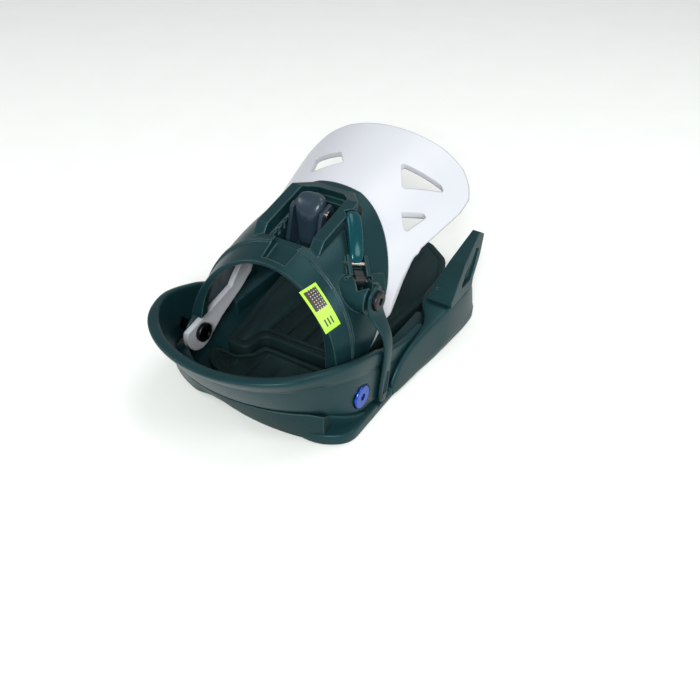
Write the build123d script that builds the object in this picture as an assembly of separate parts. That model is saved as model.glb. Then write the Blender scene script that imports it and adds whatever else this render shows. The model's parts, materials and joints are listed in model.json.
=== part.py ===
"""Strapless step-in snowboard binding for a right foot, with a fold-down highback.

Frame: millimetres, +X to the outer side of the foot, +Y to the toe, +Z up, origin at the
centre of the mounting disc on the underside that rests on the board. The highback group is
drawn flat, with the fold axis on its own X axis and its blade along +Y, and is then laid
down at its folded rest slope.
"""
from build123d import *
from math import cos, hypot, radians, sin, sqrt
import os

# ---- fold axis and rest position of the highback group
FOLD_Y = -88.0
FOLD_Z = 24.0
REST_SLOPE = 12.0
FOLD_TRAVEL = 57.0

# ---- heel hoop: a U-shaped band whose rear wall leans backwards
HOOP_HALF = 74.0
HOOP_WALL = 5.0
HOOP_BEND_Y = -85.0
HOOP_DEPTH_LOW = 38.0
HOOP_DEPTH_HIGH = 67.0
HOOP_LOW_Z = 4.0
HOOP_HIGH_Z = 60.0
HOOP_FRONT_Y = -6.0
SEAM = 0.4
FAR = 200.0

# ---- base
FLOOR = 8.0
HEEL_WALL = 12.0
RAIL_TOP = 26.0
RAIL_INNER = 74.3
RAIL_START = -52.0
RAIL_OUTER = 80.0
HOOK_START = 8.0
HOOK_END = 48.0
SEAT_TOP = 33.0
LEDGE_INNER = 57.2
LEDGE_OUTER = 68.4
BASE_HALF = 82.0
HOOK_SCREW_X = 71.0
HOOK_SCREW_YS = (20.0, 36.0)
HOOK_SCREW_R = 2.0
HOOK_SCREW_HEAD = 4.0
INNER_SHIFT = 6.5
DISC_R = 46.0
DISC_GAP = 0.4
DISC_HOLE_PITCH = 40.0
DISC_HOLE_R = 3.2
DISC_SINK_R = 6.5
DISC_SINK_DEPTH = 3.5
PAD_LOW = FLOOR + 0.2
MAIN_PAD_TOP = 19.0
HEEL_PAD_TOP = 14.5
GROOVE = 1.4
BUMPER_THICK = 7.0
BUMPER_LEFT = -28.0
BUMPER_RIGHT = 62.5

# ---- highback group, in its flat frame: half width, shoulder height and crown height of arches
BLADE_THICK = 4.0
BLADE_CROWN = 58.0
BLADE_HALF = 57.0
BLADE_FLARE_U = 60.0
NEST_GAP = 0.15
HOUSING_CROWN = 66.0
HOUSING_HALF = 60.5
LIP_HALF = 48.5
LIP_CROWN = 62.4
LIP_DEPTH = 6.0
LIP_FOOT = 14.0
LEG_BOTTOM = -24.0
LEG_TOP = 8.3
BLADE_START = 60.0
EAR_R = 14.0
RIM_SLOPE = 0.436
RIM_FOOT = -5.8
BAND = 15.5

# ---- forward-lean adjuster in the housing's well
WELL_HALF = 17.2
WELL_FLOOR = 59.5
WELL_START = 44.0
WELL_END = 97.0
PIT_HALF = 15.0
PIT_FLOOR = 43.0
PIT_START = 49.0
PIT_END = 92.0
PIT_WALL = 2.5
LEAN_PIN_U = 74.0
LEAN_PIN_V = 66.0
LEAN_PIN_R = 3.0
LEAN_BLOCK_HALF = 9.5
LEAN_CHEEK = 2.6
RUN_GAP = 0.04

# ---- release lever on the housing's outer shoulder: pivot point, then direction of the lever
LEVER_FOOT = (43.0, 56.0, 51.5)
LEVER_TIP = (23.5, 82.0, 63.0)
LEVER_TILT = 32.0
LEVER_HALF = 4.0
LEVER_PIN_R = 1.6
CAM_BACK = -11.0

# ---- fasteners and pins
PIVOT_R = 4.0
BOLT_HEAD_R = 8.0
BOLT_HEAD_H = 2.4
BOLT_SINK = 2.0
SOCKET_R = 2.6
NUT_R = 6.8
NUT_H = 3.6
NUT_GAP = 0.6
STOP_PIN_R = 2.5
STOP_PIN_GAP = 0.3
STOP_RADIUS = 25.5
STOP_ANGLE = -32.5
ARM_TOP = (42.5, 41.0)
ARM_TOP_R = 9.6
ARM_FOOT_R = 4.4
ARM_FACE = 64.0
ARM_THICK = 3.2
ARM_OUT = 74.4
ARM_SCREW_R = 3.0
ARM_SCREW_END = 46.5
ARM_HEAD_R = 6.4
ARM_HEAD_H = 2.8
RIVETS = ((24.0, 91.0), (-24.0, 91.0))
RIVET_R = 2.2
LABEL_GAP = 0.03
LABEL_THICK = 0.35


# ------------------------------------------------------------------ helpers
def outline(points, radius=0.0):
    """Closed polygon face, with every corner rounded by the same radius if one is given."""
    face = make_face(Polyline(*points, close=True))
    return fillet(face.vertices(), radius) if radius else face


def across(face, low, high):
    """Extrude a (y, z) outline along X between two x values."""
    return extrude(Plane.YZ.offset(low) * face, high - low)


def upright(face, low, high):
    """Extrude an (x, y) outline along Z between two z values."""
    return extrude(Plane.XY.offset(low) * face, high - low)


def rod_x(y, z, radius, low, high):
    """Round bar along X."""
    return across(Pos(y, z) * Circle(radius), low, high)


def rod_z(x, y, radius, low, high):
    """Round bar along Z."""
    return upright(Pos(x, y) * Circle(radius), low, high)


def both_sides(part):
    """List of the part and its mirror image across the middle plane."""
    return [part, mirror(part, Plane.YZ)]


def laid(part):
    """Move a piece of the highback group from its flat frame to its folded rest place."""
    return Pos(0, FOLD_Y, FOLD_Z) * Rot(REST_SLOPE, 0, 0) * part


# ------------------------------------------------------------------ hoop and base
def u_face(z, inset):
    """Filled U outline of the hoop at height z, drawn inwards by inset."""
    share = (z - HOOP_LOW_Z) / (HOOP_HIGH_Z - HOOP_LOW_Z)
    depth = HOOP_DEPTH_LOW + share * (HOOP_DEPTH_HIGH - HOOP_DEPTH_LOW) - inset
    half = HOOP_HALF - inset
    edges = [
        Line((-half, HOOP_FRONT_Y), (-half, HOOP_BEND_Y)),
        EllipticalCenterArc((0, HOOP_BEND_Y), half, depth, start_angle=180, arc_size=180),
        Line((half, HOOP_BEND_Y), (half, HOOP_FRONT_Y)),
        Line((half, HOOP_FRONT_Y), (-half, HOOP_FRONT_Y)),
    ]
    return Plane.XY.offset(z) * make_face(edges)


def u_wall(low, high, thick=HOOP_WALL):
    """Leaning U-shaped wall between two heights."""
    outer = loft([u_face(low, 0), u_face(high, 0)])
    return outer - loft([u_face(low, thick), u_face(high, thick)])


def stop_slot():
    """Arc slot round the fold axis in which the stop arm's pin runs."""
    path = CenterArc((FOLD_Y, FOLD_Z), STOP_RADIUS, STOP_ANGLE - 1, FOLD_TRAVEL + 2)
    return across(SlotArc(path, 2 * (STOP_PIN_R + STOP_PIN_GAP)), 60, 90)


def heel_hoop():
    """U-shaped hoop cut to its side view, with bolt seats, the stop slot and a window on the inner side."""
    side = outline([(-FAR, 31), (-FAR, 60), (-122, 60), (-104, 57.5), (-84, 51.5), (-64, 44), (-47, 34),
                    (-28, 28.5), (0, 26.5), (0, FLOOR + SEAM), (-78, FLOOR + SEAM), (-98, 14), (-118, 24)])
    hoop = u_wall(HOOP_LOW_Z, HOOP_HIGH_Z + 2) & across(side, -90, 90)
    hoop -= rod_x(FOLD_Y, FOLD_Z, PIVOT_R, -90, 90)
    sink = HOOP_HALF - BOLT_SINK
    for counterbore in both_sides(rod_x(FOLD_Y, FOLD_Z, BOLT_HEAD_R + 0.3, sink, 90)):
        hoop -= counterbore
    hoop -= stop_slot()
    hoop -= across(outline([(-53, 11), (-53, 23), (-14, 23), (-14, 11)], 5.5), -90, -60)
    return hoop


def base_plan():
    """Plan outline of the floor: square at the heel, widest at the toe hooks."""
    right = [(60, -118), (77, -107), (77, -46), (BASE_HALF, -8), (85, 38), (84, 57), (73, 66), (57, 66),
             (47, 88), (24, 102)]
    left = [(-24, 102), (-47, 88), (-57, 62), (-70, 54), (-79, 38), (-79, -8), (-76, -70), (-58, -98),
            (-28, -116)]
    return outline(right + left, 5.0)


def base_rail(foot, top):
    """Side wall outside the hoop's arm, with an outer face that slopes from foot in to top."""
    section = outline([(RAIL_INNER, 4), (RAIL_INNER, RAIL_TOP), (top, RAIL_TOP), (foot, 4)])
    return extrude(Plane.XZ.offset(-RAIL_START) * section, RAIL_START - HOOK_END)


def hook_seat(inner, outer):
    """Raised block on which a toe hook is screwed down."""
    plan = [(inner, HOOK_START), (inner, 50), (outer - 15, 51), (outer, 42), (outer, HOOK_START)]
    return upright(outline(plan, 2.0), 4, SEAT_TOP)


def hook_screw_holes():
    """Countersunk holes under both seats."""
    holes = []
    for x in (HOOK_SCREW_X, INNER_SHIFT - HOOK_SCREW_X):
        for y in HOOK_SCREW_YS:
            holes.append(rod_z(x, y, HOOK_SCREW_R, -1, FAR) + rod_z(x, y, HOOK_SCREW_HEAD, -1, 4))
    return holes


def baseplate():
    """Floor, heel wall, side rails and the seats of the toe hooks in one moulding."""
    heel_wall = u_wall(1, HOOP_HIGH_Z, HEEL_WALL) & across(under_hoop(SEAM, 6), -90, 90)
    outer_side = base_rail(RAIL_OUTER, RAIL_INNER + 3) + hook_seat(60, 84.6)
    inner_side = base_rail(RAIL_OUTER - 2, RAIL_INNER + 2) + hook_seat(57.5, 79)
    base = upright(base_plan(), 0, FLOOR) + heel_wall + outer_side + mirror(inner_side, Plane.YZ)
    ledge = outline([(LEDGE_INNER, -44), (LEDGE_OUTER, -44), (LEDGE_OUTER, 8), (62, 15), (LEDGE_INNER, 15)])
    for side in both_sides(upright(ledge, 4, MAIN_PAD_TOP)):
        base += side
    for hole in hook_screw_holes():
        base -= hole
    base -= Cylinder(DISC_R + DISC_GAP, 4 * FLOOR)
    base -= Pos(HOOP_HALF + 1, -65.5, FLOOR) * Box(15, 16, 5.5)
    base -= across(outline([(-50, 11), (-50, 40), (-16, 40), (-16, 11)], 4.0), -90, -60)
    return base - bumper_form(0.3)


def under_hoop(drop, low):
    """Side view of the space under the hoop's lower edge at the heel."""
    return outline([(-FAR, low), (-FAR, 31 - drop), (-118, 24 - drop), (-98, 14 - drop), (-92, low)])


def bumper_form(gap):
    """Rubber bumper under the rear of the hoop, swelling out from the board to the hoop."""
    shells = []
    for inset in (-gap, BUMPER_THICK + gap):
        low = Pos(18, -60) * Ellipse(95 - inset, 60 - inset)
        high = Pos(0, HOOP_BEND_Y, 26) * Ellipse(HOOP_HALF - inset, 49.4 - inset)
        shells.append(loft([low, high]))
    side = across(under_hoop(SEAM - gap, -1), BUMPER_LEFT - gap, BUMPER_RIGHT + gap)
    return (shells[0] - shells[1]) & side


def heel_bumper():
    """Rubber bumper at its own size."""
    return bumper_form(0.0)


def mounting_disc():
    """Round disc with four countersunk bolt holes on a square."""
    disc = Pos(0, 0, FLOOR / 2) * Cylinder(DISC_R, FLOOR)
    half = DISC_HOLE_PITCH / 2
    for x in (-half, half):
        for y in (-half, half):
            disc -= rod_z(x, y, DISC_HOLE_R, -1, FLOOR + 1)
            disc -= rod_z(x, y, DISC_SINK_R, FLOOR - DISC_SINK_DEPTH, FLOOR + 1)
    return disc


def footbed_main():
    """Main pad with five grooves that fan out to the toe."""
    right = [(48, -64), (51, -17), (56, 30), (55, 60), (45, 86), (24, 102)]
    left = [(-24, 102), (-45, 86), (-55, 60), (-56, 30), (-49, -10), (-38, -82), (-20, -82), (-18, -64)]
    pad = upright(outline(right + left, 3.0), PAD_LOW, MAIN_PAD_TOP)
    for number in range(-2, 3):
        cut = Box(GROOVE, 120, 2 * GROOVE)
        pad -= Pos(15 * number + 2, 8, MAIN_PAD_TOP) * Rot(0, 0, -4 * number + 7) * cut
    return pad


def footbed_heel():
    """Heel pad: half an ellipse behind, with a stepped front edge along the main pad."""
    rear = Pos(0, -86) * Ellipse(45.5, 24.5)
    front = outline([(-45.5, -86), (-26, -86), (-17, -78), (-16, -68), (45.5, -68), (45.5, -86)])
    heel = rear & Pos(0, -116) * Rectangle(120, 60)
    pad = upright(heel + front, PAD_LOW, HEEL_PAD_TOP)
    for number in range(-1, 3):
        pad -= Pos(14 * number - 6, -89, HEEL_PAD_TOP) * Box(GROOVE, 30, 2 * GROOVE)
    return pad


def toe_hook():
    """Swept-forward fin of the outer toe hook, with a recess in its outer face."""
    side = outline([(11, SEAT_TOP), (14, 37), (34, 55), (60, 67.5), (66, 63.5), (55, 48), (47, 39),
                    (45, SEAT_TOP)], 1.2)
    front = outline([(65, SEAT_TOP), (67, 43), (75, 68), (80.5, 68), (83, 52), (84.5, SEAT_TOP)])
    hook = across(side, 50, 90) & extrude(Plane.XZ.offset(-FAR) * front, 2 * FAR)
    recess = outline([(26, 39), (34, 48), (52, 59), (57, 57.5), (49, 46), (43, 39)], 2.0)
    hook -= across(recess, 80, 90)
    for y in HOOK_SCREW_YS:
        hook -= rod_z(HOOK_SCREW_X, y, HOOK_SCREW_R, 0, SEAT_TOP + 8)
    return hook


def toe_hook_screws():
    """Four countersunk screws that hold both toe hooks from under the base."""
    screws = []
    for x in (HOOK_SCREW_X, INNER_SHIFT - HOOK_SCREW_X):
        for y in HOOK_SCREW_YS:
            shank = rod_z(x, y, HOOK_SCREW_R, 2, SEAT_TOP + 7)
            screws.append(shank + rod_z(x, y, HOOK_SCREW_HEAD, 1, 4))
    return screws


def hoop_bolt():
    """Pivot bolt with a low domed head that sits in the hoop's counterbore."""
    shank = rod_x(0, 0, PIVOT_R - RUN_GAP, 0, HOOP_HALF - BOLT_SINK - BLADE_HALF + BLADE_THICK + NUT_H)
    head = Rot(0, 90, 0) * Cylinder(BOLT_HEAD_R, BOLT_HEAD_H)
    head = fillet(head.edges(), 1.0)
    socket = Rot(0, 90, 0) * extrude(RegularPolygon(SOCKET_R, 6), 6)
    start = BLADE_HALF - BLADE_THICK - NUT_H
    seat = HOOP_HALF - BOLT_SINK
    bolt = Pos(start, 0, 0) * shank + Pos(seat + BOLT_HEAD_H / 2, 0, 0) * head
    return Pos(0, FOLD_Y, FOLD_Z) * (bolt - Pos(seat + 1.0, 0, 0) * socket)


def hoop_nut():
    """Round nut on the inner side of a leg."""
    start = BLADE_HALF - BLADE_THICK - NUT_H - NUT_GAP
    nut = Rot(0, 90, 0) * Cylinder(NUT_R, NUT_H)
    nut = fillet(nut.edges(), 1.0) - Rot(0, 90, 0) * Cylinder(PIVOT_R - RUN_GAP, 2 * NUT_H)
    return Pos(start + NUT_H / 2, FOLD_Y, FOLD_Z) * nut


# ------------------------------------------------------------------ highback group, flat frame
def arch_face(u, half, shoulder, crown):
    """Filled arch across the foot at distance u from the fold axis."""
    edges = [
        Line((-half, LEG_BOTTOM), (-half, shoulder)),
        ThreePointArc((-half, shoulder), (0, crown), (half, shoulder)),
        Line((half, shoulder), (half, LEG_BOTTOM)),
        Line((half, LEG_BOTTOM), (-half, LEG_BOTTOM)),
    ]
    return Plane.XZ.offset(-u) * make_face(edges)


def blade_arch(u, inset):
    """Arch of the blade at u: a half circle near the heel, wider and flatter to the top."""
    spread = (u - BLADE_FLARE_U) / 130
    radius = BLADE_HALF + 41 * spread - inset
    half = BLADE_HALF + 16 * sqrt(spread) * min(1.0, 3 * spread + 0.35) - inset
    half = min(half, radius)
    shoulder = BLADE_CROWN - inset - radius + sqrt(radius * radius - half * half)
    return arch_face(u, half, shoulder, BLADE_CROWN - inset)


def blade_solid(inset):
    """Filled form of the blade: a straight arch over the legs, then a part that widens."""
    legs = extrude(blade_arch(BLADE_FLARE_U, inset), BLADE_FLARE_U + 30)
    return legs + loft([blade_arch(u, inset) for u in (BLADE_FLARE_U, 100, 140, 190)])


def rim_u(v, forward=0.0):
    """Where the tilted plane of the housing's rear rim stands at height v."""
    return RIM_FOOT + RIM_SLOPE * v + forward


def blade_side():
    """Side view of the white blade and its two slim legs, which end in flat-topped ears."""
    blade = outline([(0, -EAR_R), (22, -6), (47, -1), (66, 5.5), (74, 11), (84, 18), (96, 24), (108, 27),
                     (150, 26), (164, 28), (172, 33), (179, 40), (183, 50), (184, 70), (BLADE_START, 70),
                     (BLADE_START, 30), (38, LEG_TOP), (0, LEG_TOP)])
    ear = Circle(EAR_R) & Pos(0, LEG_TOP - EAR_R) * Rectangle(4 * EAR_R, 2 * EAR_R)
    return blade + ear


def highback():
    """White blade: a thin arched shell with two legs, three windows and an opening round the well."""
    shell = (blade_solid(0) - blade_solid(BLADE_THICK)) & across(blade_side(), -90, 90)
    shell &= upright(blade_plan(), -40, 80)
    windows = [
        outline([(22, 152), (50, 155.5), (54, 152.5), (33, 132.5)], 2.0),
        outline([(41, 116), (54.5, 132), (48.5, 105)], 1.6),
        outline([(-24, 147), (-43.5, 144.5), (-35.5, 123.5), (-14, 135)], 2.0),
    ]
    for window in windows:
        shell -= upright(window, 0, 80)
    shell -= upright(pit_plan(PIT_WALL + 0.5), 0, 80)
    shell -= rod_x(0, 0, PIVOT_R + RUN_GAP, -90, 90)
    for x, u in RIVETS:
        shell -= rod_z(x, u, RIVET_R, 40, 70)
    return shell


def blade_plan():
    """Plan outline of the blade: straight legs, then a wide top with large round corners."""
    right = [(58, -20), (58, 100), (67, 128), (70, 150), (69, 184)]
    left = [(-x, y) for x, y in reversed(right)]
    face = make_face(Polyline(*(right + left), close=True))
    corners = [v for v in face.vertices() if v.Y > 180]
    return fillet(corners, 20)


def housing_solid(grow=0.0):
    """Filled outer form of the dark heel housing."""
    stations = [(-24, 58.8, 4, 60), (12, 59, 6, 62.4), (36, HOUSING_HALF, 6, HOUSING_CROWN),
                (70, HOUSING_HALF, 6, HOUSING_CROWN + 0.5), (112, 60.0, 5, 62)]
    return loft([arch_face(u, half + grow, low, crown + grow) for u, half, low, crown in stations])


def housing_side():
    """Side view of the housing: tilted rear rim, rounded ear and sloping lower edge."""
    return outline([(rim_u(-4), -4), (rim_u(80), 80), (112, 80), (108, 60), (101, 54), (92, 47), (80, 38),
                    (68, 29), (54, 20), (40, 8), (24, -2), (9, -9)])


def rim_slab(start, depth, foot):
    """Slab parallel to the rear rim, from a given height up."""
    return across(outline([(rim_u(foot, start), foot), (rim_u(90, start), 90),
                           (rim_u(90, start + depth), 90), (rim_u(foot, start + depth), foot)]), -90, 90)


def lever_frame():
    """Frame of the release lever: x along the lever, z out of the housing."""
    foot = Vector(*LEVER_FOOT)
    tip = Vector(*LEVER_TIP)
    out = Vector(sin(radians(LEVER_TILT)), 0, cos(radians(LEVER_TILT)))
    return Plane(origin=foot, x_dir=tip - foot, z_dir=out)


def at_lever(part):
    return lever_frame().from_local_coords(part)


def lever_rod(s, t, radius, half):
    """Round bar across the lever, at s along it and t above its frame."""
    return Pos(s, 0, t) * Rot(90, 0, 0) * Cylinder(radius, 2 * half)


def housing_well():
    """Cuts of the adjuster's well: a deep pit, a wider step above it and a notch to the rear rim."""
    pit_cut = upright(pit_plan(0), PIT_FLOOR, 90)
    floor_cut = upright(outline([(-WELL_HALF, WELL_START), (-WELL_HALF, WELL_END - 6), (-10, WELL_END),
                                 (10, WELL_END), (WELL_HALF, WELL_END - 6), (WELL_HALF, WELL_START)], 1.5),
                        WELL_FLOOR, 90)
    notch = upright(outline([(-4, 8), (-9, 60), (14, 60), (10, 8)]), WELL_FLOOR + 1, 90)
    return [pit_cut, floor_cut, notch & rim_slab(4, 60, 20)]


def pit_plan(grow):
    """Plan of the deep part of the well, grown outwards on every side."""
    length = PIT_END - PIT_START
    plan = RectangleRounded(2 * (PIT_HALF + grow), length + 2 * grow, 2 + grow)
    return Pos(0, PIT_START + length / 2) * plan


def housing_ribs():
    """Catch notches along both walls of the well."""
    cuts = []
    for number in range(6):
        u = PIT_START + 7 + 6 * number
        cuts += both_sides(Pos(PIT_HALF, u, WELL_FLOOR) * Box(2.4, 2.4, 8))
    return cuts


def heel_housing():
    """Arched housing nested over the blade, with a rear lip, a console, a well and the lever's channel."""
    cavity = blade_solid(-NEST_GAP)
    opening = loft([arch_face(u, LIP_HALF, LIP_CROWN - LIP_HALF, LIP_CROWN) for u in (-60, 120)])
    body = housing_solid() & across(housing_side() + Circle(11), -90, 90)
    bead = housing_solid(1.2) & rim_slab(BAND, 2.2, 12)
    body += bead
    console = upright(outline([(-25, 40), (-25, 90), (-14, 104), (14, 104), (26, 90), (25, 40)], 5.0), 60, 69)
    console_side = outline([(40, 60), (50, 68.5), (90, 68.5), (103, 63), (103, 55), (40, 55)])
    body += console & across(console_side, -90, 90)
    boss = rod_x(*ARM_TOP, ARM_TOP_R + 1, 30, ARM_FACE - ARM_THICK - SEAM)
    body += boss
    for side in (-1, 1):
        body += at_lever(Pos(-2, side * (LEVER_HALF + 1.8), -1) * Box(14, 2.4, 7))
    lip = body & rim_slab(-1, LIP_DEPTH + 1, LIP_FOOT)
    body -= cavity
    body += lip
    body += upright(pit_plan(PIT_WALL), PIT_FLOOR - PIT_WALL, HOUSING_CROWN - 2)
    body -= opening & rim_slab(-30, 30 + LIP_DEPTH, -40)
    body -= opening & rim_slab(-2, LIP_DEPTH + 4, LIP_FOOT - 8)
    for cut in housing_well() + housing_ribs():
        body -= cut
    body -= at_lever(Pos(10, 0, 8) * Box(52, 2 * LEVER_HALF + 1.2, 24))
    body -= at_lever(Pos(CAM_BACK, 0, 4) * Box(20, 2 * LEVER_HALF + 1.2, 22))
    body -= at_lever(lever_rod(CAM_BACK, -1, LEVER_PIN_R, 9))
    body -= at_lever(lever_rod(0, 0, LEVER_PIN_R, 9))
    body -= rod_x(0, 0, PIVOT_R + RUN_GAP, -90, 90)
    body -= rod_x(*ARM_TOP, ARM_SCREW_R, ARM_SCREW_END, 90)
    for x, u in RIVETS:
        body -= rod_z(x, u, RIVET_R, 40, 63)
    body -= catch_cover(0.2)
    return largest(body)


def largest(part):
    """The biggest solid, without slivers that the cuts leave behind."""
    return max(part.solids(), key=lambda solid: solid.volume)


def label_plate():
    """Thin size sticker that follows the outer flank of the arch band."""
    frame = Plane(origin=(41.8, 17, 48.8), x_dir=(0.52, -0.2, -0.72), z_dir=(0.76, -0.26, 0.6))
    patch = frame.from_local_coords(Box(29, 12.5, 14))
    return (housing_solid(LABEL_THICK) - housing_solid(LABEL_GAP)) & patch


def catch_cover(gap=0.0):
    """Square cover over the catch below the release lever."""
    frame = Plane(origin=(52.5, 59, 36), x_dir=(-0.45, 0.6, 0.66), z_dir=(0.86, 0, 0.5))
    block = Box(12 + 2 * gap, 11 + 2 * gap, 7 + gap)
    return frame.from_local_coords(Pos(0, 0, gap / 2) * block)


def stop_arm_side():
    """Side view of the arm: the hull of its round top and its round foot."""
    foot = stop_foot()
    circles = (Pos(*ARM_TOP) * Circle(ARM_TOP_R)).edges() + (Pos(*foot) * Circle(ARM_FOOT_R)).edges()
    return make_hull(circles)


def stop_foot():
    """Place of the stop pin in the flat frame."""
    angle = radians(STOP_ANGLE - REST_SLOPE)
    return STOP_RADIUS * cos(angle), STOP_RADIUS * sin(angle)


def stop_arm():
    """Cranked arm: beside the housing at its top, outside the hoop at its foot."""
    foot_u, foot_v = stop_foot()
    du, dv = ARM_TOP[0] - foot_u, ARM_TOP[1] - foot_v
    length = hypot(du, dv)
    inner = ARM_FACE - ARM_THICK
    strip = outline([(ARM_OUT, -12), (ARM_OUT, 39), (67, 49), (inner, 55), (inner, 90), (ARM_FACE, 90),
                     (ARM_FACE, 57), (70, 51), (ARM_OUT + ARM_THICK, 41), (ARM_OUT + ARM_THICK, -12)])
    frame = Plane(origin=(0, foot_u, foot_v), x_dir=(1, 0, 0), z_dir=(0, -dv / length, du / length))
    bent = extrude(frame.from_local_coords(strip), 30, both=True)
    arm = bent & across(stop_arm_side(), 40, 90)
    arm -= rod_x(foot_u, foot_v, STOP_PIN_R, 60, 90)
    arm -= rod_x(*ARM_TOP, ARM_SCREW_R, 40, 90)
    return arm


def stop_pin():
    """Pin at the foot of the arm that runs in the hoop's slot."""
    foot_u, foot_v = stop_foot()
    return rod_x(foot_u, foot_v, STOP_PIN_R, HOOP_HALF - HOOP_WALL - 1, ARM_OUT + ARM_THICK)


def arm_screw():
    """Screw that holds the arm to the housing's boss, with a rounded head and a hexagon socket."""
    head = Rot(0, 90, 0) * Cylinder(ARM_HEAD_R, ARM_HEAD_H)
    head = fillet(head.edges().group_by(Axis.X)[-1], 1.2)
    shank = rod_x(*ARM_TOP, ARM_SCREW_R, ARM_SCREW_END, ARM_FACE)
    screw = shank + Pos(ARM_FACE + ARM_HEAD_H / 2, *ARM_TOP) * head
    socket = Rot(0, 90, 0) * extrude(RegularPolygon(SOCKET_R, 6), 4)
    return screw - Pos(ARM_FACE + 1.2, *ARM_TOP) * socket


def lean_carriage():
    """Two cheeks joined by a bar; they carry the adjuster's cross pin in the well."""
    cheek_in = LEAN_BLOCK_HALF + 0.3
    low = PIT_FLOOR + 0.2
    side = outline([(58, low), (58, 50), (69, 70), (80, 70), (83, 60), (83, low)], 1.0)
    cheek = across(side, cheek_in, cheek_in + LEAN_CHEEK)
    bar = Pos(0, 78, low + 1.2) * Box(2 * cheek_in + 1, 9, 2.4)
    carriage = cheek + mirror(cheek, Plane.YZ) + bar
    return carriage - rod_x(LEAN_PIN_U, LEAN_PIN_V, LEAN_PIN_R, -30, 30)


def lean_pin():
    """Cross pin of the adjuster."""
    return rod_x(LEAN_PIN_U, LEAN_PIN_V, LEAN_PIN_R, -13.6, 13.6)


def lean_lever():
    """Rounded block that locks the adjuster, hinged on the cross pin."""
    body = outline([(63, 47), (60, 50), (64, 64), (69, 75), (76, 79), (82, 77), (84, 70), (81, 62),
                    (74, 52)], 1.4)
    side = body + Pos(LEAN_PIN_U, LEAN_PIN_V) * Circle(8.0)
    lever = across(side, -LEAN_BLOCK_HALF, LEAN_BLOCK_HALF)
    return lever - rod_x(LEAN_PIN_U, LEAN_PIN_V, LEAN_PIN_R + RUN_GAP, -30, 30)


def release_lever():
    """Flat tapered tab that lies in its channel and turns on the lever pin."""
    side = outline([(-3.2, 0), (-2.4, 3.0), (8, 4.6), (30, 4.2), (33, 2), (33, -1.4), (24, -2.2), (3, -2.6),
                    (-2, -2.4)], 0.8)
    tab = extrude(Plane.XZ * side, LEVER_HALF, both=True)
    return at_lever(tab - lever_rod(0, 0, LEVER_PIN_R + RUN_GAP, 12))


def lever_pin():
    return at_lever(lever_rod(0, 0, LEVER_PIN_R, LEVER_HALF + 3.0))


def catch_cam():
    """Nosed cam under the lever's foot that frees the heel catch."""
    nose = outline([(CAM_BACK, 2.4), (CAM_BACK + 6.4, 0.6), (CAM_BACK + 6.4, -1.6), (CAM_BACK, -4.4)])
    side = Pos(CAM_BACK, -1) * Circle(3.6) + nose
    cam = extrude(Plane.XZ * side, 3.2, both=True)
    return at_lever(cam - lever_rod(CAM_BACK, -1, LEVER_PIN_R + RUN_GAP, 12))


def cam_pin():
    return at_lever(lever_rod(CAM_BACK, -1, LEVER_PIN_R, LEVER_HALF + 3.0))


def housing_rivets():
    """Two rivets that hold the housing to the blade."""
    rivets = []
    for x, u in RIVETS:
        crown = 1 + sqrt((BLADE_HALF - BLADE_THICK) ** 2 - x * x)
        rivets.append(rod_z(x, u, RIVET_R, crown - 3, 63))
    return rivets


# ------------------------------------------------------------------ write every piece
def toe_hook_inner():
    return Pos(INNER_SHIFT, 0, 0) * mirror(toe_hook(), Plane.YZ)


def hoop_pivot_bolts():
    return both_sides(hoop_bolt())


def hoop_pivot_nuts():
    return both_sides(hoop_nut())


BASE_NODES = {
    "baseplate": baseplate,
    "mounting_disc": mounting_disc,
    "heel_hoop": heel_hoop,
    "heel_bumper": heel_bumper,
    "footbed_main": footbed_main,
    "footbed_heel": footbed_heel,
    "toe_hook_outer": toe_hook,
    "toe_hook_inner": toe_hook_inner,
    "toe_hook_screws": toe_hook_screws,
    "hoop_pivot_bolts": hoop_pivot_bolts,
    "hoop_pivot_nuts": hoop_pivot_nuts,
}
HIGHBACK_NODES = {
    "highback": highback,
    "heel_housing": heel_housing,
    "size_label": label_plate,
    "catch_cover": catch_cover,
    "stop_arm": stop_arm,
    "stop_pin": stop_pin,
    "arm_screw": arm_screw,
    "lean_carriage": lean_carriage,
    "lean_pin": lean_pin,
    "lean_lever": lean_lever,
    "release_lever": release_lever,
    "lever_pin": lever_pin,
    "catch_cam": catch_cam,
    "cam_pin": cam_pin,
    "housing_rivets": housing_rivets,
}


def write_node(name, made):
    """Write one node: a single solid, or a group of separate ones."""
    pieces = made if isinstance(made, list) else [made]
    solids = [solid for piece in pieces for solid in piece.solids()]
    export_step(Compound(children=solids) if len(solids) > 1 else solids[0], f"parts/{name}.step")


def write_all():
    os.makedirs("parts", exist_ok=True)
    for name, make in BASE_NODES.items():
        write_node(name, make())
    for name, make in HIGHBACK_NODES.items():
        made = make()
        pieces = made if isinstance(made, list) else [made]
        write_node(name, [laid(piece) for piece in pieces])


write_all()
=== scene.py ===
"""Looks of the strapless step-in snowboard binding: materials, soft studio light and the camera."""

import json
from math import cos, pi, radians, sin

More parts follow.
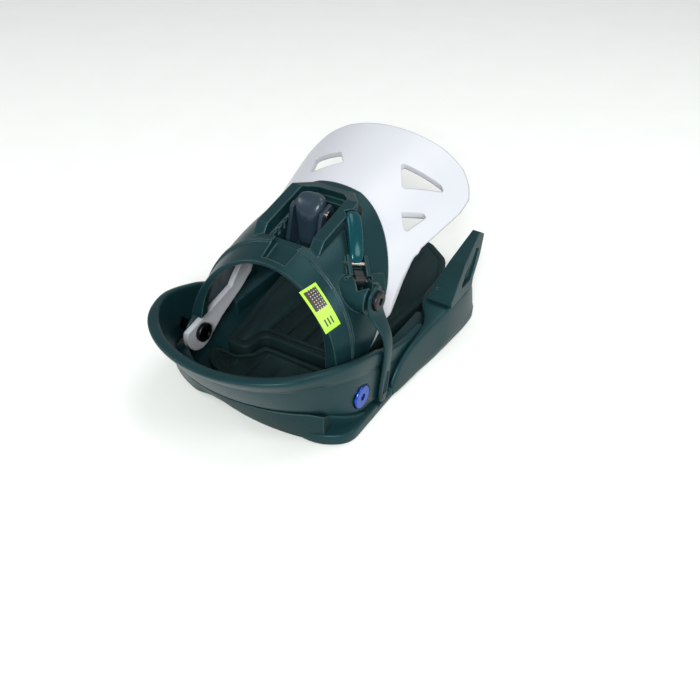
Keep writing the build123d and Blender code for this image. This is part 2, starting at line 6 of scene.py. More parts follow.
import bmesh
import bpy
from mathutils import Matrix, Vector


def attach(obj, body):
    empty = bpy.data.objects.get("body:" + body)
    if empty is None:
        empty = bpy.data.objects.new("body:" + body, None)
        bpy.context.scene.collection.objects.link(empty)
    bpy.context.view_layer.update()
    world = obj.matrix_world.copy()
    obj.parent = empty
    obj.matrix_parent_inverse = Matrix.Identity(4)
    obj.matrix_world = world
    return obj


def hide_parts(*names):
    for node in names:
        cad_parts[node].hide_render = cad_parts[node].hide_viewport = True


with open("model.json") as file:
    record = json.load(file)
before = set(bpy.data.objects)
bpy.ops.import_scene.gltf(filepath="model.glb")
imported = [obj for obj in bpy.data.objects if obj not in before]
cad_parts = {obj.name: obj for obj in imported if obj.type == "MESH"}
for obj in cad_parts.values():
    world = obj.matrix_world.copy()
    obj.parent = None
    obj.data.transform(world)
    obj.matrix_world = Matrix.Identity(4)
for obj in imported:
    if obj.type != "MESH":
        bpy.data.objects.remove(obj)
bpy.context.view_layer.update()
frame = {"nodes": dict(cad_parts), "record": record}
nodes = frame["nodes"]

MM = 0.001
REST_SLOPE = 12
PIVOT_Y = -88
PIVOT_Z = 24
SLOPE = radians(REST_SLOPE)
FOLD = Vector((0, PIVOT_Y, PIVOT_Z))


def laid(point):
    """A point of the highback group's flat frame, in metres in the row frame."""
    x, y, z = point
    turned = Vector((x, y * cos(SLOPE) - z * sin(SLOPE), y * sin(SLOPE) + z * cos(SLOPE)))
    return (turned + FOLD) * MM


def laid_way(way):
    """Direction in the highback group's flat frame, turned into the row frame."""
    x, y, z = way
    return Vector((x, y * cos(SLOPE) - z * sin(SLOPE), y * sin(SLOPE) + z * cos(SLOPE))).normalized()


# ------------------------------------------------------------------ shader helpers
# Edges lightened towards a pale teal: a painted edge highlight, together with worn edges.
SHEEN_AND_WEAR_STARTS = 0.97
SHEEN_AND_WEAR_FULL = 0.80
EDGE_SHEEN_AND_WEAR_TONE = (0.075, 0.120, 0.125)
NOISE_LOW = 0.3
NOISE_HIGH = 0.7


class Shader:
    """Small wrapper that adds nodes to one material."""

    def __init__(self, name):
        self.material = bpy.data.materials.new(name)
        self.material.use_nodes = True
        self.tree = self.material.node_tree
        self.surface = self.tree.nodes["Principled BSDF"]
        self.place = self.add("ShaderNodeTexCoord").outputs["Object"]

    def add(self, kind, **settings):
        node = self.tree.nodes.new(kind)
        for key, value in settings.items():
            setattr(node, key, value)
        return node

    def feed(self, socket, value):
        """Link a socket to the input, or set the input's plain value."""
        if isinstance(value, bpy.types.NodeSocket):
            self.tree.links.new(value, socket)
        else:
            socket.default_value = value

    def maths(self, operation, first, second=0.0):
        node = self.add("ShaderNodeMath", operation=operation)
        self.feed(node.inputs[0], first)
        self.feed(node.inputs[1], second)
        return node.outputs[0]

    def along(self, origin, way):
        """Distance from origin along a direction, in millimetres."""
        shift = self.add("ShaderNodeVectorMath", operation="SUBTRACT")
        self.feed(shift.inputs[0], self.place)
        shift.inputs[1].default_value = origin
        dot = self.add("ShaderNodeVectorMath", operation="DOT_PRODUCT")
        self.feed(dot.inputs[0], shift.outputs[0])
        dot.inputs[1].default_value = way
        return self.maths("MULTIPLY", dot.outputs["Value"], 1000.0)

    def band(self, value, centre, half, soft=0.15):
        """One inside centre +- half, falling to zero over soft."""
        off = self.maths("ABSOLUTE", self.maths("SUBTRACT", value, centre))
        step = self.add("ShaderNodeMapRange", interpolation_type="SMOOTHSTEP")
        self.feed(step.inputs["Value"], off)
        step.inputs["From Min"].default_value = half - soft
        step.inputs["From Max"].default_value = half + soft
        step.inputs["To Min"].default_value = 1.0
        step.inputs["To Max"].default_value = 0.0
        return step.outputs["Result"]

    def noise(self, scale, detail=3.0):
        """Noise value of a given grain, in object space."""
        node = self.add("ShaderNodeTexNoise")
        self.feed(node.inputs["Vector"], self.place)
        node.inputs["Scale"].default_value = scale
        node.inputs["Detail"].default_value = detail
        return node.outputs["Fac"]

    def mix(self, share, first, second):
        node = self.add("ShaderNodeMix", data_type="RGBA")
        self.feed(node.inputs[0], share)
        self.feed(node.inputs[6], first)
        self.feed(node.inputs[7], second)
        return node.outputs[2]

    def edge_sheen_and_wear_share(self, soft_normal, amount):
        """Share of painted edge highlight, with some worn edges: high where the rounded normal turns away
        from the flat one, broken up by noise.
        """
        geometry = self.add("ShaderNodeNewGeometry")
        dot = self.add("ShaderNodeVectorMath", operation="DOT_PRODUCT")
        self.feed(dot.inputs[0], soft_normal)
        self.feed(dot.inputs[1], geometry.outputs["Normal"])
        turn = self.add("ShaderNodeMapRange", interpolation_type="SMOOTHSTEP")
        self.feed(turn.inputs["Value"], dot.outputs["Value"])
        turn.inputs["From Min"].default_value = SHEEN_AND_WEAR_STARTS
        turn.inputs["From Max"].default_value = SHEEN_AND_WEAR_FULL
        turn.inputs["To Min"].default_value = 0.0
        turn.inputs["To Max"].default_value = amount
        return self.maths("MULTIPLY", turn.outputs["Result"], self.ranged(self.noise(180.0), 0.55, 1.0))

    def ranged(self, value, low, high):
        """Spread the middle of a noise value over low to high."""
        node = self.add("ShaderNodeMapRange")
        self.feed(node.inputs["Value"], value)
        node.inputs["From Min"].default_value = NOISE_LOW
        node.inputs["From Max"].default_value = NOISE_HIGH
        node.inputs["To Min"].default_value = low
        node.inputs["To Max"].default_value = high
        return node.outputs["Result"]


def colour(red, green, blue, gain=1.0):
    return (red * gain, green * gain, blue * gain, 1.0)


def moulded(name, base, rough=0.5, grain=0.06, size=1600.0, edge=0.8, blotch=0.12, specular=0.4,
            gleam=(1.0, 1.0, 1.0), sheen_and_wear_amount=0.0, detail=None):
    """Moulded plastic or rubber: slight colour drift, fine grain, and soft edges lightened by a painted edge
    highlight, partly worn edges.
    """
    shader = Shader(name)
    drift = shader.noise(26.0, 4.0)
    speck = shader.noise(size, 2.0)
    dark = colour(*base, 1.0 - blotch)
    light = colour(*base, 1.0 + blotch)
    tone = shader.mix(shader.ranged(drift, 0.0, 1.0), dark, light)
    shader.feed(shader.surface.inputs["Roughness"], shader.ranged(speck, rough - 0.05, rough + 0.06))
    shader.surface.inputs["Specular IOR Level"].default_value = specular
    shader.surface.inputs["Specular Tint"].default_value = colour(*gleam)
    soft = shader.add("ShaderNodeBevel", samples=6)
    soft.inputs["Radius"].default_value = edge * MM
    # Painted edge highlight, partly worn edges: lighter tone where the rounded normal turns away from the
    # flat one.
    if sheen_and_wear_amount:
        tone = shader.mix(shader.edge_sheen_and_wear_share(soft.outputs["Normal"], sheen_and_wear_amount), tone, colour(*EDGE_SHEEN_AND_WEAR_TONE))
    bump = shader.add("ShaderNodeBump")
    bump.inputs["Strength"].default_value = grain
    bump.inputs["Distance"].default_value = 0.0004
    if detail:
        tone = detail(shader, tone)
    shader.feed(shader.surface.inputs["Base Color"], tone)
    shader.feed(bump.inputs["Height"], speck)
    shader.feed(bump.inputs["Normal"], soft.outputs["Normal"])
    shader.feed(shader.surface.inputs["Normal"], bump.outputs["Normal"])
    return shader


def metal(name, base, rough=0.3, edge=0.4, detail=None):
    """Bare or anodised metal with a faint grain."""
    shader = moulded(name, base, rough, 0.03, 2400.0, edge, 0.06, detail=detail)
    shader.surface.inputs["Metallic"].default_value = 1.0
    return shader


LABEL_PLACE = (41.8, 17, 48.8)
LABEL_ALONG = (0.52, -0.2, -0.72)
LABEL_FACE = (0.76, -0.26, 0.6)
DOT_PITCH = 0.9
DOT_HALF = 0.28
BAR_PITCH = 1.2
BAR_HALF = 0.55


def label_pattern(shader, tone):
    """Dark panel with a small grid of dots, then plain bars; no lettering."""
    origin = laid(LABEL_PLACE)
    along = laid_way(LABEL_ALONG)
    face = laid_way(LABEL_FACE)
    along = (along - along.dot(face) * face).normalized()
    s = shader.along(origin, along)
    t = shader.along(origin, face.cross(along))
    panel = shader.maths("MULTIPLY", shader.band(s, -6.2, 6.6), shader.band(t, 0.0, 4.6))
    dot_s = shader.band(shader.maths("PINGPONG", s, DOT_PITCH), 0.0, DOT_HALF, 0.08)
    dot_t = shader.band(shader.maths("PINGPONG", t, DOT_PITCH), 0.0, DOT_HALF, 0.08)
    dots = shader.maths("MULTIPLY", shader.maths("MULTIPLY", dot_s, dot_t), shader.band(t, 0.6, 3.2))
    bars = shader.maths("MULTIPLY", shader.band(s, 9.0, 2.4), shader.band(t, 0.4, 3.6))
    lines = shader.band(shader.maths("PINGPONG", t, BAR_PITCH), 0.0, BAR_HALF, 0.1)
    tone = shader.mix(panel, tone, colour(0.045, 0.036, 0.032))
    tone = shader.mix(shader.maths("MULTIPLY", dots, panel), tone, colour(0.55, 0.55, 0.5))
    return shader.mix(shader.maths("MULTIPLY", bars, lines), tone, colour(0.03, 0.035, 0.03))


BOLT_HEAD_START = 71.5


def bolt_parts(shader, tone):
    """Blue head; the shank and the inner end are dark."""
    x = shader.along((0, 0, 0), (1, 0, 0))
    head = shader.maths("GREATER_THAN", shader.maths("ABSOLUTE", x), BOLT_HEAD_START)
    return shader.mix(head, colour(0.02, 0.02, 0.022), tone)


NYLON = (0.0052, 0.0225, 0.0262)
# The last setting lightens the edges: a painted edge highlight, partly worn edges.
DEEP = {"specular": 0.24, "gleam": (0.55, 0.95, 1.0), "sheen_and_wear_amount": 0.8}
finishes = {
    "base_nylon": moulded("base_nylon", NYLON, 0.38, 0.10, **DEEP),
    "disc_nylon": moulded("disc_nylon", (0.010, 0.018, 0.020), 0.55, 0.10, **DEEP),
    "hoop_nylon": moulded("hoop_nylon", NYLON, 0.34, 0.08, edge=1.0, **DEEP),
    "bumper_rubber": moulded("bumper_rubber", (0.006, 0.020, 0.022), 0.60, 0.15, edge=1.6, **DEEP),
    "footbed_eva": moulded("footbed_eva", (0.0058, 0.0140, 0.0145), 0.66, 0.30, 900.0, edge=1.2, **DEEP),
    "hook_nylon": moulded("hook_nylon", (0.007, 0.024, 0.027), 0.34, 0.08, edge=1.2, **DEEP),
    "housing_nylon": moulded("housing_nylon", NYLON, 0.33, 0.08, edge=1.6, **DEEP),
    "black_steel": metal("black_steel", (0.035, 0.037, 0.040), 0.38),
    "bright_steel": metal("bright_steel", (0.42, 0.38, 0.34), 0.30),
    "blue_aluminium": metal("blue_aluminium", (0.030, 0.085, 0.42), 0.26, detail=bolt_parts),
    "highback_white": moulded("highback_white", (0.50, 0.515, 0.55), 0.36, 0.03, edge=1.4, blotch=0.015),
    "label_film": moulded("label_film", (0.34, 0.62, 0.045), 0.35, 0.02, edge=0.2, blotch=0.02,
                          detail=label_pattern),
    "grey_plastic": moulded("grey_plastic", (0.014, 0.028, 0.042), 0.28, 0.05, edge=1.0),
    "lever_gloss": moulded("lever_gloss", (0.001, 0.036, 0.045), 0.16, 0.01, edge=1.2, specular=0.32,
                           gleam=(0.6, 1.0, 1.0)),
    "black_plastic": moulded("black_plastic", (0.008, 0.010, 0.012), 0.40, 0.06),
}
slots = {entry["node"]: entry["material_slot"] for entry in frame["record"]["subparts"]}
for name, piece in nodes.items():
    piece.data.materials.clear()
    piece.data.materials.append(finishes[slots[name]].material)

# ------------------------------------------------------------------ mesh helpers
def new_piece(name, verts, faces):
    """Mesh object from points in millimetres, with its normals turned outwards."""
    mesh = bpy.data.meshes.new(name)
    mesh.from_pydata([Vector(v) * MM for v in verts], [], faces)
    form = bmesh.new()
    form.from_mesh(mesh)
    bmesh.ops.recalc_face_normals(form, faces=form.faces)
    form.to_mesh(mesh)
    form.free()
    for face in mesh.polygons:
        face.use_smooth = True
    piece = bpy.data.objects.new(name, mesh)
    bpy.context.collection.objects.link(piece)
    return piece


def skin(name, rings):
    """Closed skin over a row of rings, each with the same number of points."""
    count = len(rings[0])
    faces = [tuple(range(count)), tuple(range((len(rings) - 1) * count, len(rings) * count))]
    for row in range(len(rings) - 1):
        for spot in range(count):
            after = (spot + 1) % count
            first = row * count
            faces.append((first + spot, first + after, first + count + after, first + count + spot))
    return new_piece(name, [point for ring in rings for point in ring], faces)


def tight(rings, share=0.08):
    """Repeat the end rings close to the ends, so that subdivision keeps the ends crisp."""
    def between(first, second):
        return [tuple(a + share * (b - a) for a, b in zip(p, q)) for p, q in zip(first, second)]
    return [rings[0], between(rings[0], rings[1])] + rings[1:-1] + [between(rings[-1], rings[-2]), rings[-1]]


def prism(name, points, low, high, axis="x"):
    """Outline in (y, z) run along X, or in (x, y) run along Z."""
    if axis == "x":
        rings = [[(x, y, z) for y, z in points] for x in (low, high)]
    else:
        rings = [[(x, y, z) for x, y in points] for z in (low, high)]
    return skin(name, rings)


def rounded(points, radius, steps=6):
    """Outline with each corner turned into a short curve."""
    made = []
    for number, corner in enumerate(points):
        corner = Vector(corner)
        sides = [Vector(points[number - 1]) - corner, Vector(points[(number + 1) % len(points)]) - corner]
        ends = [corner + side.normalized() * min(radius, 0.45 * side.length) for side in sides]
        for step in range(steps + 1):
            t = step / steps
            made.append(tuple((1 - t) ** 2 * ends[0] + 2 * t * (1 - t) * corner + t * t * ends[1]))
    return made


def bake(piece):
    """Turn a piece's modifiers into its mesh."""
    view = bpy.context.evaluated_depsgraph_get()
    mesh = bpy.data.meshes.new_from_object(piece.evaluated_get(view))
    piece.modifiers.clear()
    piece.data = mesh


def subdivide(piece):
    """Two rounds of subdivision, baked."""
    step = piece.modifiers.new("round", "SUBSURF")
    step.levels = 2
    step.render_levels = 2
    bake(piece)


def soften(piece, width):
    """Round the sharp edges, baked."""
    step = piece.modifiers.new("soft", "BEVEL")
    step.width = width * MM
    step.segments = 3
    step.limit_method = "ANGLE"
    step.angle_limit = radians(35)
    bake(piece)


def cut(piece, cutters):
    """Take each cutter out of the piece, then drop the cutter."""
    for cutter in cutters:
        step = piece.modifiers.new("cut", "BOOLEAN")
        step.operation = "DIFFERENCE"
        step.solver = "EXACT"
        step.object = cutter
        bake(piece)
        bpy.data.objects.remove(cutter)


def disc_points(first, second, radius, count=40):
    """Points of a circle round (first, second)."""
    turns = [2 * pi * k / count for k in range(count)]
    return [(first + radius * cos(turn), second + radius * sin(turn)) for turn in turns]


def finish_piece(piece, slot, body, *stands_for):
    """Give a piece its material and its body, and hide the CAD nodes that it stands for."""
    piece.data.materials.clear()
    piece.data.materials.append(finishes[slot].material)
    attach(piece, body)
    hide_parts(*stands_for)


def ramp(value, table):
    """Straight-line reading of a short table of (place, height) pairs."""
    for (x0, h0), (x1, h1) in zip(table, table[1:]):
        if value <= x1:
            share = max(0.0, (value - x0) / (x1 - x0))
            return h0 + share * (h1 - h0)
    return table[-1][1]


def ease(value, low, high):
    """Smooth step from 0 at low to 1 at high."""
    share = min(1.0, max(0.0, (value - low) / (high - low)))
    return share * share * (3 - 2 * share)


# ------------------------------------------------------------------ heel hoop
HOOP_HALF = 74.0
BEND_Y = -85.0
RIM_REACH = 67
FOOT_REACH = 46
RIM_FLARE = 2.6
BORE_R = 4.0
COUNTERBORE_R = 8.3
FACE_START = 72
STOP_ORBIT = 25.5
SLOT_HALF = 2.8
SLOT_START = -33.5
SLOT_SWEEP = 59
HOOP_TOP = [(-122, 60.0), (-104, 57.5), (-84, 51.5), (-64, 44.0), (-47, 34.0), (-28, 28.5), (0, 26.5)]
HOOP_LOW = [(-150, 27.5), (-118, 24.0), (-98, 14.0), (-78, 8.4)]


def depth_at(z):
    """How far the hoop's outer face reaches behind its bend at height z."""
    return 38 + (z - 4) / 56 * 29


def hoop_point(turn, arm, inset, z):
    """Point on the hoop wall: turn is the angle round the heel, or None on a straight arm.

    arm is the side (1 or -1) and the y of a place on a straight arm.
    """
    if turn is None:
        side, y = arm
        return (side * (HOOP_HALF - inset), y, z)
    depth = depth_at(z)
    out = Vector((cos(turn) / HOOP_HALF, -sin(turn) / depth)).normalized()
    x = HOOP_HALF * cos(turn) - inset * out.x
    return (x, BEND_Y - depth * sin(turn) - inset * out.y, z)


def hoop_stations():
    """Places along the hoop: down one arm, round the heel, and up the other arm."""
    arm_ys = [-6, -16, -28, -38, -47, -56, -64, -74, -84]
    right = [(None, (1, y)) for y in arm_ys]
    bend = [(pi * k / 26, None) for k in range(1, 26)]
    left = [(None, (-1, y)) for y in reversed(arm_ys)]
    return right + bend + left


def hoop_heights(turn, arm):
    """Upper and lower edge of the hoop at a place along it."""
    if turn is None:
        return ramp(arm[1], HOOP_TOP), ramp(arm[1], HOOP_LOW)
    top = ramp(BEND_Y - RIM_REACH * sin(turn), HOOP_TOP)
    return top, ramp(BEND_Y - FOOT_REACH * sin(turn), HOOP_LOW)


def heel_hoop():
    """Leaning band with a crease, a rolled rim, the pivot bores, the stop slot and the inner window."""
    rings = []
    for turn, arm in hoop_stations():
        top, low = hoop_heights(turn, arm)
        grow = 0.0 if turn is None else RIM_FLARE * ease(sin(turn), 0.3, 0.75)
        crease = max(low + 0.45 * (top - low), top - 12)
        profile = [(0.8, low), (0.0, low + 1.2), (0.0, crease - 2.2), (0.7, crease - 0.6),
                   (-0.3 * grow, crease + 1.4), (-grow, top - 4.5), (0.2 - grow, top - 1.2),
                   (1.6 - grow, top), (4.0, top), (5.3, top - 1.2), (5.3, top - 4), (5.0, crease - 2),
                   (5.0, low + 1.2), (4.2, low)]
        rings.append([hoop_point(turn, arm, inset, z) for inset, z in profile])
    hoop = skin("heel_hoop_look", tight(rings))
    subdivide(hoop)
    cutters = [prism("bore", disc_points(PIVOT_Y, PIVOT_Z, BORE_R), -95, 95)]
    for low, high in ((FACE_START, 95), (-95, -FACE_START)):
        cutters.append(prism("counterbore", disc_points(PIVOT_Y, PIVOT_Z, COUNTERBORE_R), low, high))
    turns = [radians(SLOT_START + SLOT_SWEEP * k / 12) for k in range(13)]
    slot = []
    for radius, way in ((STOP_ORBIT + SLOT_HALF, turns), (STOP_ORBIT - SLOT_HALF, turns[::-1])):
        slot += [(PIVOT_Y + radius * cos(turn), PIVOT_Z + radius * sin(turn)) for turn in way]
    cutters.append(prism("slot", rounded(slot, 2.6, 3), 60, 95))
    cutters.append(prism("window", rounded([(-53, 11), (-53, 23), (-14, 23), (-14, 11)], 6), -95, -60))
    cut(hoop, cutters)
    finish_piece(hoop, "hoop_nylon", "base", "heel_hoop")


# ------------------------------------------------------------------ baseplate
BASE_PLAN = [(60, -118), (77, -107), (77, -46), (82, -8), (85, 38), (84, 57), (73, 66), (57, 66), (47, 88),
             (24, 102), (-24, 102), (-47, 88), (-57, 62), (-70, 54), (-79, 38), (-79, -8), (-76, -70),
             (-58, -98), (-28, -116)]
FLOOR_TOP = 8
DISC_R = 46.4
PAD_BOTTOM = 8.2
MAIN_PAD_TOP = 19
HEEL_PAD_TOP = 14.5
STOP_POCKET = [(67.5, -73.5), (90, -73.5), (90, -57.5), (67.5, -57.5)]
LEDGE = [(57.2, -44), (68.4, -44), (68.4, 8), (62, 15), (57.2, 15)]
OUTER_WALL = [
    (-55, 77.5, 76.5, 74.4, 10), (-50, 78.5, 77, 74.4, 17), (-42, 79.5, 77.5, 74.4, 23.5),
    (-28, 80.5, 78, 74.4, 26.5), (-8, 82, 79.5, 74.4, 28), (2, 83.2, 80.8, 70, 29.5),
    (10, 84.2, 82.2, 62, 31.5), (20, 84.6, 83.4, 60, 33), (32, 84.8, 84.2, 60, 33),
    (42, 84.8, 84.2, 60, 33), (50, 84.6, 82.6, 60, 31.5), (57, 83.0, 80, 60.5, 24),
    (62, 78, 75.5, 60.5, 14), (66, 72, 70, 60.5, 8.8)]
INNER_WALL = [
    (-55, 76.4, 76, 74.4, 10), (-50, 77, 76.2, 74.4, 17), (-42, 77.6, 76.4, 74.4, 23.5),
    (-28, 78.4, 76.8, 74.4, 26.5), (-8, 78.8, 77, 74.4, 28), (2, 78.9, 77.4, 68, 29.5),
    (10, 79, 78, 60, 31.5), (20, 79, 78.2, 57.5, 33), (32, 79, 78.5, 57.5, 33),
    (42, 78.5, 77, 57.5, 33), (48, 74, 72.5, 57.5, 31.5), (54, 69.5, 68, 57.5, 20),
    (58, 62, 61, 57.5, 9)]


def side_wall(name, side, rows):
    """Wall that rises from the heel to the toe hook's seat.

    Each row is y, outer face at the foot, outer face at the top, inner face, and height.
    """
    rings = []
    for y, foot, outer, inner, top in rows:
        lift = min(3.0, 0.3 * (top - 1))
        profile = [(foot, 0.6), (foot, 4), (outer + 0.6, top - lift), (outer, top - 0.8), (outer - 1.0, top),
                   (inner + 1.0, top), (inner, top - 0.8), (inner, top - lift), (inner, 0.6)]
        rings.append([(side * x, y, z) for x, z in profile])
    wall = skin(name, tight(rings, 0.15))
    subdivide(wall)
    return wall


def heel_wall():
    """Wall under the hoop's lower edge, set back where the rubber bumper covers it."""
    rings = []
    for number in range(-1, 30):
        turn = pi * number / 28
        top = ramp(BEND_Y - FOOT_REACH * sin(turn), HOOP_LOW) - 0.5
        covered = ease(turn, radians(31), radians(35)) * (1 - ease(turn, radians(110), radians(116)))
        face = 2.6 * covered
        flare = 1.6 * (1 - covered)
        profile = [(face - flare, 1.0), (face - 0.7 * flare, 5), (face, 10), (face, top - 1.0),
                   (face + 1.0, top), (11, top), (12, top - 1.0), (12, 1.0)]
        rings.append([hoop_point(max(0.0, min(pi, turn)), None, inset, z) for inset, z in profile])
    wall = skin("heel_wall_look", rings)
    subdivide(wall)
    return wall


def baseplate():
    """Floor with the disc's hole, two side walls, the heel wall and two inner ledges."""
    floor_part = prism("base_floor_look", rounded(BASE_PLAN, 9), 0, FLOOR_TOP, "z")
    cut(floor_part, [prism("disc_hole", disc_points(0, 0, DISC_R, 64), -5, 20, "z"),
                     prism("pocket", rounded(STOP_POCKET, 3), 5.2, 20, "z")])
    soften(floor_part, 1.2)
    outer = side_wall("outer_wall_look", 1, OUTER_WALL)
    inner = side_wall("inner_wall_look", -1, INNER_WALL)
    heel = heel_wall()
    ledges = []
    for side in (1, -1):
        plan = [(side * x, y) for x, y in LEDGE]
        ledge = prism("ledge_look", rounded(plan, 2, 4), 6, MAIN_PAD_TOP, "z")
        soften(ledge, 1.0)
        ledges.append(ledge)
    for piece in (floor_part, outer, inner, heel, *ledges):
        finish_piece(piece, "base_nylon", "base", "baseplate")


# ------------------------------------------------------------------ footbed
def inset_outline(points, distance):
    """Outline moved inwards by a distance; points run anticlockwise."""
    made = []
    for number, corner in enumerate(points):
        before = (Vector(corner) - Vector(points[number - 1])).normalized()
        after = (Vector(points[(number + 1) % len(points)]) - Vector(corner)).normalized()
        bisector = Vector((-before.y - after.y, before.x + after.x))
        scale = distance / max(0.35, bisector.length / 2)
        made.append(tuple(Vector(corner) + bisector.normalized() * scale))
    return made


def groove(points, z, radius, closed=False):
    """Thin bar along a path, used as a cutter."""
    data = bpy.data.curves.new("groove", "CURVE")
    data.dimensions = "3D"
    data.bevel_depth = radius * MM
    data.bevel_resolution = 1
    data.use_fill_caps = True
    line = data.splines.new("POLY")
    line.points.add(len(points) - 1)
    for spot, (x, y) in zip(line.points, points):
        spot.co = (x * MM, y * MM, z * MM, 1)
    line.use_cyclic_u = closed
    bar = bpy.data.objects.new("groove", data)
    bpy.context.collection.objects.link(bar)
    view = bpy.context.evaluated_depsgraph_get()
    mesh = bpy.data.meshes.new_from_object(bar.evaluated_get(view))
    bpy.data.objects.remove(bar)
    solid = bpy.data.objects.new("groove", mesh)
    bpy.context.collection.objects.link(solid)
    return solid


MAIN_PAD = [(48, -64), (51, -17), (56, 30), (55, 60), (45, 86), (24, 102), (-24, 102), (-45, 86), (-55, 60),
            (-56, 30), (-49, -10), (-38, -82), (-20, -82), (-18, -64)]


HEEL_BORDER = [(-41, -88), (-34, -98), (-18, -104.5), (0, -106.5), (18, -104.5), (34, -98), (41, -88),
               (41, -72), (-12, -72), (-14, -81), (-24, -89)]
GROOVE_RISE = 0.2


def heel_pad_outline():
    """Half oval behind the heel, with a stepped front edge."""
    rear = [(45.5 * cos(a), -86 - 24.5 * sin(a)) for a in [pi - pi * k / 20 for k in range(21)]]
    return rear + [(45.5, -68), (-16, -68), (-17, -78), (-26, -86)]


def footbed():
    """Two soft-edged pads with a border groove and long grooves between their ribs."""
    main = prism("footbed_main_look", rounded(MAIN_PAD, 6), PAD_BOTTOM, MAIN_PAD_TOP, "z")
    soften(main, 1.4)
    level = MAIN_PAD_TOP + GROOVE_RISE
    cutters = [groove(rounded(inset_outline(MAIN_PAD, 5.5), 5, 3), level, 1.0, True)]
    for number in range(-1, 3):
        x = 13 * number - 4
        cutters.append(groove([(x - 1, -56), (x, -10), (x * 1.25, 40), (x * 1.15, 84)], level, 0.9))
    cut(main, cutters)
    finish_piece(main, "footbed_eva", "base", "footbed_main")
    heel = prism("footbed_heel_look", heel_pad_outline(), PAD_BOTTOM, HEEL_PAD_TOP, "z")
    soften(heel, 1.2)
    level = HEEL_PAD_TOP + GROOVE_RISE
    cutters = [groove(rounded(HEEL_BORDER, 3, 2), level, 0.9, True)]
    for number in range(-1, 3):
        x = 14 * number - 6
        cutters.append(groove([(x, -76 if x > -14 else -92), (x, -101)], level, 0.9))
    cut(heel, cutters)
    finish_piece(heel, "footbed_eva", "base", "footbed_heel")


# ------------------------------------------------------------------ stop arm and the two levers
STOP_TURN = radians(-44.5)
ARM_FOOT = (STOP_ORBIT * cos(STOP_TURN), STOP_ORBIT * sin(STOP_TURN))
ARM_TOP = (42.5, 41.0)
ARM_HALF_THICK = 1.55
LOW_X = 76.0
HIGH_X = 62.4
LEAN_PIN = (74, 66)
LEAN_BORE_R = 3.1
LEVER_FOOT = Vector((41.4, 56.6, 52.4))
LEVER_TIP = Vector((21.8, 82.0, 63.6))
LEVER_TILT = radians(42)


def bulge(value):
    """Push a sine or cosine outwards, so that an ellipse becomes a fuller oval."""
    return abs(value) ** 0.7 * (1 if value > 0 else -1)


def oval(centre, along, across, wide, thick, count=12):
    """Ring in the row frame, in millimetres, round a centre given in the highback group's flat frame."""
    made = []
    for k in range(count):
        turn = 2 * pi * (k + 0.5) / count
        sideways = Vector(along) * wide * bulge(cos(turn))
        upwards = Vector(across) * thick * bulge(sin(turn))
        made.append(laid(Vector(centre) + sideways + upwards) / MM)
    return made


def stop_arm():
    """Slim arm that swells into a round boss under its screw and bends out round the hoop."""
    foot, top = Vector(ARM_FOOT), Vector(ARM_TOP)
    run = (top - foot).normalized()
    width_way = (0, -run.y, run.x)
    length = (top - foot).length
    rows = [(-4.3, 2.0, LOW_X), (-3.4, 4.0, LOW_X), (0, 5.2, LOW_X), (8, 5.6, LOW_X), (18, 4.8, LOW_X),
            (28, 4.4, 76.1), (38, 4.9, 75.6), (45, 5.9, 72.6), (51, 7.4, 67.6), (56, 8.8, 63.6),
            (length, 9.5, HIGH_X), (length + 5, 8.0, HIGH_X), (length + 8.4, 4.4, HIGH_X),
            (length + 9.4, 1.6, HIGH_X)]
    rings = []
    for s, wide, x in rows:
        centre = (x, foot.x + run.x * s, foot.y + run.y * s)
        rings.append(oval(centre, width_way, (1, 0, 0), wide, ARM_HALF_THICK))
    arm = skin("stop_arm_look", rings)
    subdivide(arm)
    hollow = []
    for x in (76.6, 79.0):
        middle = (x, foot.x + run.x * 9.0, foot.y + run.y * 9.0)
        hollow.append(oval(middle, width_way, (0, run.x, run.y), 3.0, 10.0))
    cut(arm, [skin("foot_hollow", hollow)])
    finish_piece(arm, "hook_nylon", "highback_group", "stop_arm")


def lean_lever():
    """Smooth hood that narrows to its foot."""
    rows = [(47.0, 63.6, 0.6, 4.6), (47.6, 63.4, 2.6, 5.4), (52, 65.2, 4.6, 6.2), (57, 69.0, 6.8, 7.4),
            (62, 72.6, 8.8, 8.8), (66, 74.0, 9.6, 9.4), (69.5, 74.6, 9.2, 10.0), (72.6, 74.8, 7.6, 10.0),
            (74.6, 75.0, 5.0, 9.2), (75.7, 75.0, 2.2, 7.4)]
    rings = [oval((0, u, v), (1, 0, 0), (0, 1, 0.25), wide, deep) for v, u, deep, wide in rows]
    lever = skin("lean_lever_look", rings)
    subdivide(lever)
    bore = []
    for x in (-20, 20):
        bore.append([laid((x, u, v)) / MM for u, v in disc_points(*LEAN_PIN, LEAN_BORE_R, 24)])
    cut(lever, [skin("pin_hole", bore)])
    finish_piece(lever, "grey_plastic", "lean_flap", "lean_lever")


def release_lever():
    """Glossy paddle with round ends, lying in its channel."""
    out = Vector((sin(LEVER_TILT), 0, cos(LEVER_TILT)))
    run = LEVER_TIP - LEVER_FOOT
    run = (run - run.dot(out) * out).normalized()
    side = out.cross(run)
    rows = [(-2.2, 0.2, 2.6, 1.2), (-1.2, 0.6, 4.2, 2.2), (3, 1.8, 5.0, 3.0), (12, 2.7, 5.2, 3.2),
            (22, 2.8, 5.4, 3.2), (28.6, 2.4, 5.4, 2.8), (31.8, 2.0, 4.2, 2.0), (32.8, 1.8, 2.2, 1.0)]
    rings = []
    for s, t, wide, thick in rows:
        rings.append(oval(LEVER_FOOT + run * s + out * t, side, out, wide, thick))
    lever = skin("release_lever_look", rings)
    subdivide(lever)
    finish_piece(lever, "lever_gloss", "lever", "release_lever")


heel_hoop()
baseplate()
footbed()
stop_arm()
lean_lever()
release_lever()

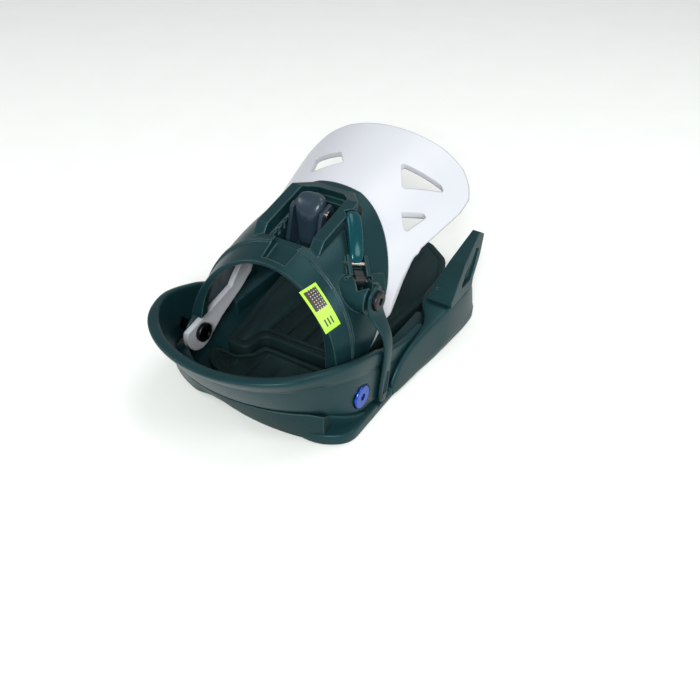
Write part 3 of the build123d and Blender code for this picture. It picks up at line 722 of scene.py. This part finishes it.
# ------------------------------------------------------------------ floor, light, camera
FLOOR_DROP = 0.0002
LIGHT_TARGET = Vector((0, 0, 0.03))
WORLD_STRENGTH = 0.44
FRAME_SIDE = 700
FOCAL_LENGTH = 850
SENSOR = 36.0
CAMERA_PLACE = (0.2705, -0.4230, 0.3756)
CAMERA_WAY = Vector((-0.4065, 0.6624, -0.6293))

bpy.ops.mesh.primitive_plane_add(size=6, location=(0, 0, -FLOOR_DROP))
floor = bpy.context.object
floor.name = "floor"
floor_look = moulded("floor_look", (0.80, 0.82, 0.79), 0.7, 0.01, 300.0, blotch=0.01)
floor.data.materials.append(floor_look.material)


def soft_light(name, place, size, power):
    """Round area light aimed at the object."""
    data = bpy.data.lights.new(name, "AREA")
    data.shape = "DISK"
    data.size = size
    data.energy = power
    lamp = bpy.data.objects.new(name, data)
    bpy.context.collection.objects.link(lamp)
    lamp.location = place
    lamp.rotation_mode = "QUATERNION"
    lamp.rotation_quaternion = (LIGHT_TARGET - Vector(place)).to_track_quat("-Z", "Y")


soft_light("top_light", (0.15, 0.45, 1.3), 0.8, 5.5)
soft_light("left_light", (-1.1, -0.5, 0.9), 0.6, 5.0)
soft_light("right_light", (1.2, 0.2, 0.8), 0.6, 5.0)
soft_light("front_light", (0.6, -1.1, 0.9), 0.5, 22.0)

world = bpy.data.worlds.new("studio")
bpy.context.scene.world = world
world.use_nodes = True
sky = world.node_tree.nodes["Background"]
sky.inputs["Color"].default_value = (0.95, 0.97, 1.0, 1.0)
sky.inputs["Strength"].default_value = WORLD_STRENGTH

camera_data = bpy.data.cameras.new("camera")
camera_data.sensor_width = SENSOR
camera_data.lens = FOCAL_LENGTH / FRAME_SIDE * SENSOR
camera = bpy.data.objects.new("camera", camera_data)
bpy.context.collection.objects.link(camera)
camera.location = CAMERA_PLACE
camera.rotation_mode = "QUATERNION"
camera.rotation_quaternion = CAMERA_WAY.to_track_quat("-Z", "Y")
bpy.context.scene.camera = camera
bpy.context.scene.view_settings.view_transform = "Standard"
